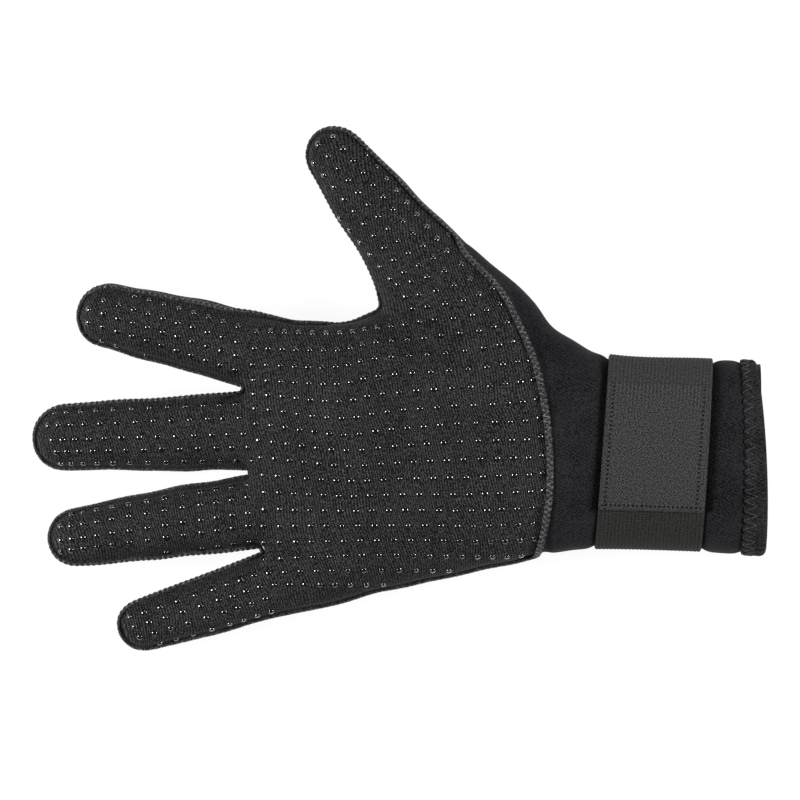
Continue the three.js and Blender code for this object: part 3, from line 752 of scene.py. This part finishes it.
# On a finger: each row's side of the axis, its first dot's distance for the middle row, the
# steps before and past it, how much further each row thumbwards starts, and how the steps close up
fingerDots = {
    "index": {
        "rows": [-12.4, -7.1, -1.9, 3.2, 8.5], "middle": 2, "first": 33.8, "step": 5.56, "near": 5.56,
        "fromStep": -2, "steps": 10, "lean": 1.0, "drift": 0.065, "close": 0.0, "closeFrom": 9},
    "middle": {
        "rows": [-10.8, -6.1, -1.2, 4.8, 9.7], "middle": 2, "first": 31.6, "step": 6.5, "near": 5.7,
        "fromStep": -2, "steps": 11, "lean": 1.4, "drift": 0.0, "close": 0.3, "closeFrom": 5},
    "ring": {
        "rows": [-10.6, -4.8, 0, 5.7, 10.0], "middle": 2, "first": 35.9, "step": 6.5, "near": 5.7,
        "fromStep": -3, "steps": 10, "lean": -0.6, "drift": 0.0, "close": 0.3, "closeFrom": 4},
    "little": {
        "rows": [-9.4, -4.6, 0.3, 5.0], "middle": 2, "first": 34.3, "step": 6.8, "near": 5.2,
        "fromStep": -3, "steps": 8, "lean": 0.5, "drift": 0.0, "close": 0.25, "closeFrom": 2},
}
thumbDots = {"rows": [-13, -7.6, -2.0, 3.9, 9.2, 13.3], "middle": 2, "first": 54.5, "step": 5.65,
             "steps": 12, "lean": -1.35}


# Where the dots stand, flat: the palm's from the tables, the digits' along each digit's axis
def dotSpots():
    spots = []
    for column in range(palmColumns[0] - 1, palmColumns[-1] + 2):
        # the first rows stand on the thumb's mound only
        rows = np.arange(palmRows[0] if column >= -1 else palmRows[1], palmRows[-1] + 1)
        x, y = (tableAt(palmRows, [tableAt(palmColumns, line, column) for line in zip(*table)], rows)
                for table in (palmX, palmY))
        spots += list(zip(x - shift[0], y - shift[1]))
    for name, form in fingerDots.items():
        k = np.arange(form["fromStep"], form["steps"])
        late = np.maximum(k - form["closeFrom"], 0)
        run = np.where(k < 0, k * form["near"], k * form["step"]) - form["close"] * late ** 2
        for row, side in enumerate(form["rows"]):
            distance = form["first"] + run + form["lean"] * (row - form["middle"])
            half = digitSize(name, distance / (digits[name]["length"] - digits[name]["tip"] / 2))[0]
            narrowed = side * mix(1, half / (digits[name]["width"] / 2), 0.7)
            x, y = digitPlace(name, distance, narrowed + form["drift"] * (distance - 50))
            spots += list(zip(x, y))
    k = np.arange(thumbDots["steps"])
    for row, side in enumerate(thumbDots["rows"]):
        start = thumbDots["first"] + thumbDots["lean"] * (row - thumbDots["middle"])
        x, y = digitPlace("thumb", start + k * thumbDots["step"], side)
        spots += list(zip(x, y))
    return spots


# One dot: a low dome, its rings' radius and height falling as a cosine and a sine
def makeDots():
    random = np.random.default_rng(11)
    tree = BVHTree.FromPolygons(panelPoints.tolist(), skinQuads.tolist())
    centres, ups = [], []
    for x, y in dotSpots():
        hit, normal, face, reach = tree.ray_cast(Vector((x, y, 60)), Vector((0, 0, -1)))
        # none where the skin turns away, too near the seam or too near another dot
        if hit is None or normal.z < 0.12 or palmSide(np.array([hit]))[0] < dots["fromSeam"]:
            continue
        if centres and np.linalg.norm(np.array(centres) - np.array(hit), axis=1).min() < dots["apart"]:
            continue
        centres.append(hit[:])
        ups.append(normal[:])
    centres, ups = np.array(centres), np.array(ups)
    count, sides = len(centres), dots["sides"]
    print("grip dots", count)
    ups = unit(ups + random.normal(0, dots["tilt"], ups.shape))
    right = unit(np.cross(ups, [0.3, 1, 0.1]))
    ahead = np.cross(ups, right)
    radius = dots["radius"] * random.normal(1, 0.05, count)[:, None, None, None]
    height = dots["height"] * random.normal(1, 0.08, count)[:, None, None, None]
    climb = np.radians([-24, 14, 40, 66])  # the first ring sinks into the cloth
    turn = np.radians(np.arange(sides) * 360 / sides)
    out = (np.cos(climb) * np.array([1.05, 1, 1, 1]))[None, :, None, None] * radius
    rise = np.sin(climb)[None, :, None, None] * height
    ring = (right[:, None, None] * np.cos(turn)[None, None, :, None]
            + ahead[:, None, None] * np.sin(turn)[None, None, :, None])
    domes = centres[:, None, None] + ring * out + ups[:, None, None] * rise
    tops = centres + ups * height[:, 0, 0]
    rings = len(climb)
    points = np.concatenate([domes.reshape(count, -1, 3), tops[:, None]], 1)
    shell = gridFaces(rings, sides, closeColumns=True)
    last = (rings - 1) * sides
    cap = [[last + i, last + (i + 1) % sides, rings * sides] for i in range(sides)]
    faces = repeatFaces(shell.tolist() + cap, count, rings * sides + 1)
    return makePiece("grip_dots", toFrame(points), faces, silicone)


gripDots = makeDots()


# Short threads: each a round tube along its own path, closed at both ends
def threadTubes(name, paths, ups, radius, sides, material):
    count, steps = paths.shape[:2]
    along = unit(np.gradient(paths, axis=1))
    across = unit(np.cross(ups, along))
    lift = np.cross(along, across)
    turn = np.radians(np.arange(sides) * 360 / sides)[None, None, :, None]
    ring = across[:, :, None] * np.cos(turn) + lift[:, :, None] * np.sin(turn)
    points = paths[:, :, None] + radius * ring
    tube = gridFaces(steps, sides, closeColumns=True).tolist()
    ends = [list(range(sides))[::-1], [(steps - 1) * sides + i for i in range(sides)]]
    return makePiece(name, toFrame(points), repeatFaces(tube + ends, count, steps * sides), material)


strapNear, strapFar = strap["fromEdge"], strap["fromEdge"] + strap["width"]


# A band of the strap's width round the cuff. Over its width the top is a height at each place;
# under it is flat. Along it runs an angle in degrees, and lay says how far off the cuff it lies.
def cuffBand(name, turns, lay, topAt, acrossSteps, material, inset=None):
    share = np.linspace(0, 1, acrossSteps)
    edge = 0 if inset is None else inset[:, None]
    across = strapNear + edge + (strap["width"] - 2 * edge) * share[None, :] + 0 * turns[:, None]
    under = across[:, ::-8]  # every eighth point is enough for the flat side
    top = topAt(across, turns[:, None])
    angle = np.radians(turns)[:, None]
    outer = bodyPoint(across, angle + 0 * across, lay(turns)[:, None] + top)
    inner = bodyPoint(under, angle + 0 * under, lay(turns)[:, None] + 0 * under)
    points = np.concatenate([outer, inner], 1)
    rows, columns = points.shape[:2]
    middle = outer[:, acrossSteps // 2]
    run = runAlong(middle)
    width = np.concatenate([across, under], 1) - strapNear
    uv = np.stack([width, run[:, None] + np.zeros((rows, columns))], -1)
    faces = gridFaces(rows, columns, closeColumns=True).tolist()
    faces.append(list(range(columns)))
    faces.append(list(range(rows * columns - 1, (rows - 1) * columns - 1, -1)))
    piece = makePiece(name, toFrame(points), faces, material, uv.reshape(-1, 2))
    print(name, "length", round(run[-1], 1))
    return piece, run[-1]


# A soft edge: a quarter circle of the given radius from the nearest border inwards
def softEdge(distance, radius):
    t = np.clip(1 - distance / radius, 0, 1)
    return np.sqrt(np.maximum(1 - t ** 2, 0.0))


def strapLay(turn):
    over = smoothStep(strap["climb"], 360 + strap["start"], turn)
    return mix(strap["gap"], strap["gap"] + strapStack, over)


# Elastic: a cosine of ribs over its width, thinner at its selvedges
def strapTop(across, turn):
    edge = softEdge(np.minimum(across - strapNear, strapFar - across), 0.9)
    wave = np.cos(2 * np.pi * strap["ribs"] * (across - strapNear) / strap["width"])
    return (strap["thickness"] - strap["ribRise"] * (0.5 + 0.5 * wave)) * mix(0.45, 1, edge)


tab = {"start": 411.1, "end": 479.4, "thickness": 2.0, "rows": (3.0, 35.7), "fromEnd": 2.9,
       "stitch": 1.6, "furrow": 0.4, "furrowWidth": 0.55, "thread": 0.2}


def tabLay(turn):
    return strap["gap"] + strapStack + 0 * turn


# The tab: even, with soft edges, furrowed along its stitch rows and dented at each stitch's ends
def tabTop(across, turn):
    along = np.interp(turn, tabTurns, tabRun)
    width = across - strapNear
    edge = softEdge(np.minimum(np.minimum(width, strap["width"] - width), tabLength - along), 1.1)
    endRow = tabLength - tab["fromEnd"]
    low = sum(np.exp(-((width - row) / tab["furrowWidth"]) ** 2) for row in tab["rows"])
    low = low * (0.55 + 0.45 * np.cos(2 * np.pi * along / tab["stitch"])) * (along < endRow)
    end = np.exp(-((along - endRow) / 0.6) ** 2)
    end = end * (0.6 + 0.4 * np.cos(2 * np.pi * width / tab["stitch"]))
    end = end * (width > tab["rows"][0]) * (width < tab["rows"][1])
    lumps = 0.07 * np.sin(width * 1.9 + 2 * np.sin(along * 0.7)) * np.sin(along * 1.6 + np.sin(width))
    full = mix(strap["thickness"], tab["thickness"], smoothStep(0, 5, along))
    return (full + lumps - tab["furrow"] * np.maximum(low, end)) * mix(0.35, 1, edge)


# Distances along a line round the cuff at a reach and height, for each of its angles
def runRound(reach, turns, lift):
    return runAlong(bodyPoint(reach + 0 * turns, np.radians(turns), lift + 0 * turns))


tabTurns = np.linspace(tab["start"], tab["end"], 130)
tabRun = runRound((strapNear + strapFar) / 2, tabTurns, tabLay(0) + tab["thickness"])
tabLength = tabRun[-1]
strapTurns = np.linspace(strap["start"], strap["lap"], 150)
strapBand, strapLength = cuffBand("strap_band", strapTurns, strapLay, strapTop, 196, elastic)
# the tab's sides are a little uneven and its end corners are rounded
ragged = 0.18 * np.sin(np.arange(130) * 1.3) * np.sin(np.arange(130) * 0.37) + 0.1
ragged[-5:] += np.array([0.1, 0.2, 0.4, 0.8, 1.5])
tabPatch, tabFlat = cuffBand("tab_patch", tabTurns, tabLay, tabTop, 110, None, ragged)
tabPatch.data.materials.append(makeLoopKnit(tabFlat))


# Stitches: each thread rises out of the cloth at one end and dips back in at the other
def tabStitches():
    half = tab["stitch"] * 0.3
    bow = np.linspace(-1, 1, 5)
    starts = np.arange(2.5, (tabLength - tab["fromEnd"]) / tab["stitch"]) * tab["stitch"]
    across, along = [], []
    for row in tab["rows"]:
        across.append(np.full((len(starts), 5), row) + 0.12 * bow)
        along.append(starts[:, None] + half * bow)
    starts = np.arange(2.5, tab["rows"][1] / tab["stitch"]) * tab["stitch"]
    across.append(starts[:, None] + half * bow)
    along.append(np.full((len(starts), 5), tabLength - tab["fromEnd"]) + 0.12 * bow)
    across, along = np.concatenate(across), np.concatenate(along)
    angle = np.radians(np.interp(along, tabRun, tabTurns))
    lift = tabLay(0) + tab["thickness"] - tab["furrow"] + 0.28 * (1 - bow ** 2) - 0.06
    paths = bodyPoint(strapNear + across, angle, lift + 0 * across)
    above = bodyPoint(strapNear + across, angle, lift + 0.5 + 0 * across)
    return threadTubes("tab_stitches", paths, above - paths, tab["thread"], 5, stitchThread)


tabThreads = tabStitches()


# The hem, folded over the cuff's edge inside and out. Its outer edge is scalloped and its face
# puckered on the slant by the stitches: a cosine round the cuff, shifted across the hem
hemTurns = np.linspace(0, 360, 501)
hemRun = runRound(hem["width"] / 2, hemTurns, hem["thickness"])


def makeHem():
    outer, inner = strap["gap"], -hand["wall"] - strap["gap"]
    width, rise = hem["width"], hem["thickness"]
    section = np.array([
        [width, outer], [width + 0.05, outer + rise * 0.35], [width - 0.15, outer + rise * 0.72],
        [width - 0.7, outer + rise], [width - 1.8, outer + rise * 1.05], [width - 3.0, outer + rise],
        [width - 4.2, outer + rise * 0.95], [width - 5.2, outer + rise], [hemStack + 0.4, outer + rise],
        [0.75, outer + rise * 0.62], [0.2, outer - 0.1], [0, outer - hand["wall"] * 0.3],
        [0, inner + hand["wall"] * 0.3], [0.2, inner + 0.1], [0.75, inner - rise * 0.62],
        [hemStack + 0.4, inner - rise], [width - 3.0, inner - rise], [width - 0.7, inner - rise],
        [width, inner - rise * 0.6], [width, inner], [rise, inner], [rise, outer],
    ])
    # how much of the pucker and of the scallop each point of the section takes
    face = np.array([0.3, 0.8, 1, 1, 1, 1, 1, 0.9, 0.7, 0.3, 0.1] + [0.0] * 11)
    scallop = np.array([1, 1, 1, 0.8, 0.5, 0.2] + [0.0] * 16)
    angles = np.radians(hemTurns[:-1])[:, None]
    slant = 2 * np.pi * hem["stitches"] * (hemRun[:-1] / hemRun[-1])[:, None]
    slant = slant + 1.6 * (section[None, :, 0] / width) + 0.5 * np.sin(angles * 7)
    crease = 1 - 2 * np.abs(np.cos(slant / 2)) ** 6
    offset = section[None, :, 1] + hem["pucker"] * face * (crease - 0.6)
    reach = section[None, :, 0] + hem["scallop"] * scallop * (crease - 1)
    points = bodyPoint(reach, angles + 0 * reach, offset)
    rows, columns = points.shape[:2]
    return makePiece("hem_fold", toFrame(points), gridFaces(rows, columns, True, True), hemJersey)


hemFold = makeHem()


# The hem's zigzag: threads there and back between the cloth and the middle of the fold
def hemStitches():
    bow = np.linspace(-1, 1, 6)
    pitch = hemRun[-1] / hem["stitches"]
    starts = (np.arange(hem["stitches"]) + 0.2) * pitch
    reach, angle = [], []
    for lean in (1, -1):
        reach.append(np.full((len(starts), 6), hem["row"]) - lean * hem["rowHalf"] * bow)
        angle.append(starts[:, None] + lean * 0.25 * pitch + 0.24 * pitch * bow)
    reach = np.concatenate(reach)
    angle = np.radians(np.interp(np.concatenate(angle) % hemRun[-1], hemRun, hemTurns))
    lift = strap["gap"] + hem["thickness"] + 0.12 - 0.35 * bow ** 4
    paths = bodyPoint(reach, angle, lift + 0 * reach)
    above = bodyPoint(reach, angle, lift + 0.5 + 0 * reach)
    return threadTubes("hem_stitches", paths, above - paths, hem["thread"], 5, stitchThread)


hemThreads = hemStitches()
print("cuff dressed")


# The chain of points along the edge of the palm cloth, which the seam follows
def seamPath():
    faceValue = panelValue[skinQuads].mean(1)
    quads = skinQuads[faceValue > 0]
    edges = np.concatenate([quads[:, [a, (a + 1) % 4]] for a in range(4)])
    ordered = np.sort(edges, axis=1)
    unique, first, times = np.unique(ordered, axis=0, return_index=True, return_counts=True)
    rim = edges[first[times == 1]]
    following = dict(rim.tolist())
    start = rim[np.argmax(panelPoints[rim[:, 0], 0])][0]
    chain, here = [start], following[start]
    while here != start and len(chain) < len(rim) + 1:
        chain.append(here)
        here = following[here]
    return np.array(chain)


def resample(path, step):
    closed = np.concatenate([path, path[:1]])
    run = runAlong(closed)
    at = np.linspace(0, run[-1], int(run[-1] / step), endpoint=False)
    return np.stack([np.interp(at, run, closed[:, i]) for i in range(3)], -1)


def smoothLoop(values, turns):
    for turn in range(turns):
        values = 0.5 * values + 0.25 * (np.roll(values, 1, 0) + np.roll(values, -1, 0))
    return values


seam = {"width": 2.4, "rise": 0.48, "deep": 2.4, "thread": 0.2, "pitch": 1.0, "slant": 0.75,
        "stray": 0.5}


# The seam's middle line on the skin, one step to a mm, with its ways across and up
def seamLine():
    tree = BVHTree.FromPolygons(skinPoints.tolist(), skinQuads.tolist())
    edge = resample(smoothLoop(panelPoints[seamPath()], 1), 0.5)
    centre = resample(edge, 1.0)
    # smoothed, but never straying far from the cloth's edge, and back on the skin each time
    for turn in range(6):
        centre = smoothLoop(centre, 5)
        nearest = edge[((edge[None] - centre[:, None]) ** 2).sum(2).argmin(1)]
        off = centre - nearest
        far = np.linalg.norm(off, axis=1, keepdims=True)
        centre = nearest + off * np.minimum(1, seam["stray"] / np.maximum(far, 1e-6))
        found = [tree.find_nearest(Vector(p)) for p in centre]
        centre = resample(np.array([hit[0] for hit in found]), 1.0)
    found = [tree.find_nearest(Vector(p)) for p in smoothLoop(centre, 1)]
    centre = np.array([hit[0] for hit in found])
    normal = unit(smoothLoop(np.array([hit[1] for hit in found]), 3))
    along = unit(np.roll(centre, -1, 0) - np.roll(centre, 1, 0))
    across = unit(np.cross(normal, along))
    return centre, across, np.cross(along, across)


seamCentre, seamAcross, seamUp = seamLine()
print("seam length", len(seamCentre), "mm")


# The overlocked edge under the threads: half an ellipse carried along the seam, deeper
# below than above, so it stays on the cloth where the surface turns fast
def makeSeamEdge():
    turn = np.radians(np.linspace(0, 360, 12, endpoint=False))
    half = seam["width"] / 2
    height = seam["rise"] * np.where(np.sin(turn) > 0, 1, seam["deep"]) * np.sin(turn) + 0.02
    ring = (seamCentre[:, None] + seamAcross[:, None] * half * np.cos(turn)[None, :, None]
            + seamUp[:, None] * height[None, :, None])
    rows, columns = ring.shape[:2]
    return makePiece("seam_edge", toFrame(ring), gridFaces(rows, columns, True, True), seamCord)


# Overlock threads: each arches over the edge on the slant, every other one slanting back
def makeSeamThreads():
    random = np.random.default_rng(7)
    count = int(len(seamCentre) / seam["pitch"])
    q = np.linspace(-1, 1, 7)
    lean = np.where(np.arange(count) % 2 == 0, 1, -1) * seam["slant"] * random.normal(1, 0.35, count)
    at = (np.arange(count) * len(seamCentre) / count)[:, None] + lean[:, None] * q
    low = np.floor(at).astype(int)
    share = (at - low)[..., None]

    def along(values):
        return mix(values[low % len(values)], values[(low + 1) % len(values)], share)

    side = along(seamAcross)
    up = along(seamUp)
    half = seam["width"] / 2 * random.normal(0.98, 0.05, count)[:, None, None]
    arch = (seam["rise"] * np.sqrt(1 - (0.97 * q) ** 2) + 0.06)[None, :, None]
    paths = along(seamCentre) + side * half * q[None, :, None] + up * arch
    outwards = side * q[None, :, None] + up
    return threadTubes("seam_threads", paths, outwards, seam["thread"], 5, seamThread)


seamEdge = makeSeamEdge()
seamThreads = makeSeamThreads()

for piece, node, slot in (
        (palmPanel, "palm_panel", "grip_fabric"), (gripDots, "palm_panel", "grip_fabric"),
        (backPanel, "back_panel", "neoprene"),
        (seamEdge, "palm_seam", "seam_thread"), (seamThreads, "palm_seam", "seam_thread"),
        (strapBand, "wrist_strap", "elastic"),
        (tabPatch, "strap_tab", "tab_fabric"), (tabThreads, "strap_tab", "tab_fabric"),
        (hemFold, "cuff_hem", "hem_fabric"), (hemThreads, "cuff_hem", "hem_fabric")):
    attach(piece, "root")
    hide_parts(node)

# The area in square metres of a panel as built, summed over its mesh
def clothArea(piece):
    areas = np.empty(len(piece.data.polygons))
    piece.data.polygons.foreach_get("area", areas)
    return round(float(areas.sum()), 4)


# Flat sizes in metres. The panels' are guessed, and the palm's 245 mm is too long, since that piece
# is 187 mm as built. Their areas are the built cloth's own, and the strap and tab are as long as
# their own paths. The test of a sheet's size compares each of the four with itself.
for piece, flat in ((palmPanel, (0.19, 0.245)), (backPanel, (0.2, 0.27))):
    clothArea(piece)


# The floor, lights and camera
studio = {"centre": (0.0006, -0.00415), "height": 0.015, "view": 0.288, "lens": 600.0, "floor": 3.0}


def makeFloor():
    mesh = bpy.data.meshes.new("floor")
    half, z = studio["floor"], -0.0004
    mesh.from_pydata([(-half, -half, z), (half, -half, z), (half, half, z), (-half, half, z)],
                     [], [(0, 1, 2, 3)])
    floor = bpy.data.objects.new("floor", mesh)
    bpy.context.scene.collection.objects.link(floor)
    # opal acrylic lit from below, as a light table's: white, with hardly any shadow
    material, tree, shader = newMaterial("opal acrylic", {
        "Base Color": srgb("#565656"), "Roughness": 0.7, "Specular IOR Level": 0.0,
        "Emission Color": srgb("#ffffff"), "Emission Strength": 0.93})
    mesh.materials.append(material)


def makeLight(name, place, size, power):
    light = bpy.data.lights.new(name, "AREA")
    light.shape = "RECTANGLE"
    light.size, light.size_y = size
    light.energy = power
    lamp = bpy.data.objects.new(name, light)
    lamp.location = place
    lamp.rotation_euler = (-Vector(place)).to_track_quat("-Z", "Y").to_euler()
    bpy.context.scene.collection.objects.link(lamp)


makeFloor()
makeLight("left softbox", (-0.85, -0.06, 0.6), (0.35, 0.3), 13)
makeLight("right softbox", (0.85, 0.02, 0.6), (0.35, 0.3), 11)
makeLight("far softbox", (0.05, 0.9, 0.75), (0.5, 0.15), 2)

world = bpy.data.worlds.new("studio")
world.use_nodes = True
world.node_tree.nodes["Background"].inputs["Color"].default_value = (1, 1, 1, 1)
world.node_tree.nodes["Background"].inputs["Strength"].default_value = 0.08
bpy.context.scene.world = world
bpy.context.scene.view_settings.view_transform = "Standard"

cameraData = bpy.data.cameras.new("camera")
cameraData.lens = studio["lens"]
cameraData.sensor_width = 36.0
cameraData.clip_end = 20
camera = bpy.data.objects.new("camera", cameraData)
distance = studio["view"] * cameraData.lens / cameraData.sensor_width
camera.location = (*studio["centre"], studio["height"] + distance)
bpy.context.scene.collection.objects.link(camera)
bpy.context.scene.camera = camera
